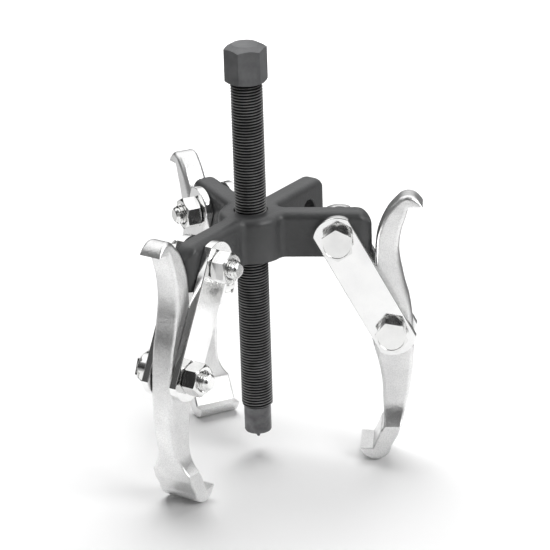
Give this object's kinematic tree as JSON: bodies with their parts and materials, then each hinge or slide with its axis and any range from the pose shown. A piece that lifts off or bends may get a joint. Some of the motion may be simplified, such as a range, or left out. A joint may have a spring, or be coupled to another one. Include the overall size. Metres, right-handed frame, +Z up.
{
  "type": "gear puller",
  "caption": "Mechanical gear puller: a yoke with a hex-headed forcing screw and hooked jaws hung on link straps, which grip a gear from behind while the screw presses on its shaft.",
  "frame": {"origin": "tip of the centre point under the forcing screw, on the screw's axis, with the screw as drawn", "axes": "+Z up along the forcing screw towards its hexagon head; -Y towards leg b, +Y towards the empty arm"},
  "size_m": [0.1552, 0.145, 0.2197],
  "materials": {
    "black_paint": "satin black finish over a forged or cast steel yoke",
    "black_oxide": "black oxide on machined steel",
    "turned_steel": "plain turned steel",
    "plated": "satin plated forging",
    "bright_plated": "bright plated steel"
  },
  "bodies": {
    "yoke": {"yoke": "black_paint"},
    "point": {"centre_point": "turned_steel"},
    "screw": {"forcing_screw": "black_oxide"},
    "link_a": {"strap_a_head_side": "bright_plated", "strap_a_nut_side": "bright_plated", "arm_bolt_a": "bright_plated", "arm_nut_a": "bright_plated", "jaw_bolt_a": "bright_plated", "jaw_nut_a": "bright_plated"},
    "jaw_body_a": {"jaw_a": "plated"},
    "link_b": {"strap_b_head_side": "bright_plated", "strap_b_nut_side": "bright_plated", "arm_bolt_b": "bright_plated", "arm_nut_b": "bright_plated", "jaw_bolt_b": "bright_plated", "jaw_nut_b": "bright_plated"},
    "jaw_body_b": {"jaw_b": "plated"},
    "link_c": {"strap_c_head_side": "bright_plated", "strap_c_nut_side": "bright_plated", "arm_bolt_c": "bright_plated", "arm_nut_c": "bright_plated", "jaw_bolt_c": "bright_plated", "jaw_nut_c": "bright_plated"},
    "jaw_body_c": {"jaw_c": "plated"}
  },
  "joints": [
    {"name": "screw_feed", "type": "slide", "parent": "yoke", "child": "point", "axis": [0, 0, 1], "range_m": [-0.066, 0.078]},
    {"name": "screw_turn", "type": "hinge", "parent": "point", "child": "screw", "pos_m": [0, 0, 0.1], "axis": [0, 0, 1], "range_deg": [-15850, 18730]},
    {"name": "link_a_swing", "type": "hinge", "parent": "yoke", "child": "link_a", "pos_m": [0.03776, 0.0218, 0.1114], "axis": [0.5, -0.866, 0], "range_deg": [-5, 50]},
    {"name": "jaw_a_swing", "type": "hinge", "parent": "link_a", "child": "jaw_body_a", "pos_m": [0.06045, 0.0349, 0.06191], "axis": [0.5, -0.866, 0], "range_deg": [-25, 0]},
    {"name": "link_b_swing", "type": "hinge", "parent": "yoke", "child": "link_b", "pos_m": [0, -0.0436, 0.1114], "axis": [-1, 0, 0], "range_deg": [-5, 50]},
    {"name": "jaw_b_swing", "type": "hinge", "parent": "link_b", "child": "jaw_body_b", "pos_m": [0, -0.07066, 0.06237], "axis": [-1, 0, 0], "range_deg": [-25, 0]},
    {"name": "link_c_swing", "type": "hinge", "parent": "yoke", "child": "link_c", "pos_m": [-0.03776, 0.0218, 0.1114], "axis": [0.5, 0.866, 0], "range_deg": [-5, 50]},
    {"name": "jaw_c_swing", "type": "hinge", "parent": "link_c", "child": "jaw_body_c", "pos_m": [-0.05795, 0.03346, 0.06048], "axis": [0.5, 0.866, 0], "range_deg": [-25, 0]}
  ],
  "couplings": [
    {"joint": "screw_turn", "follows": "screw_feed", "rad_per_m": 4188.8}
  ]
}
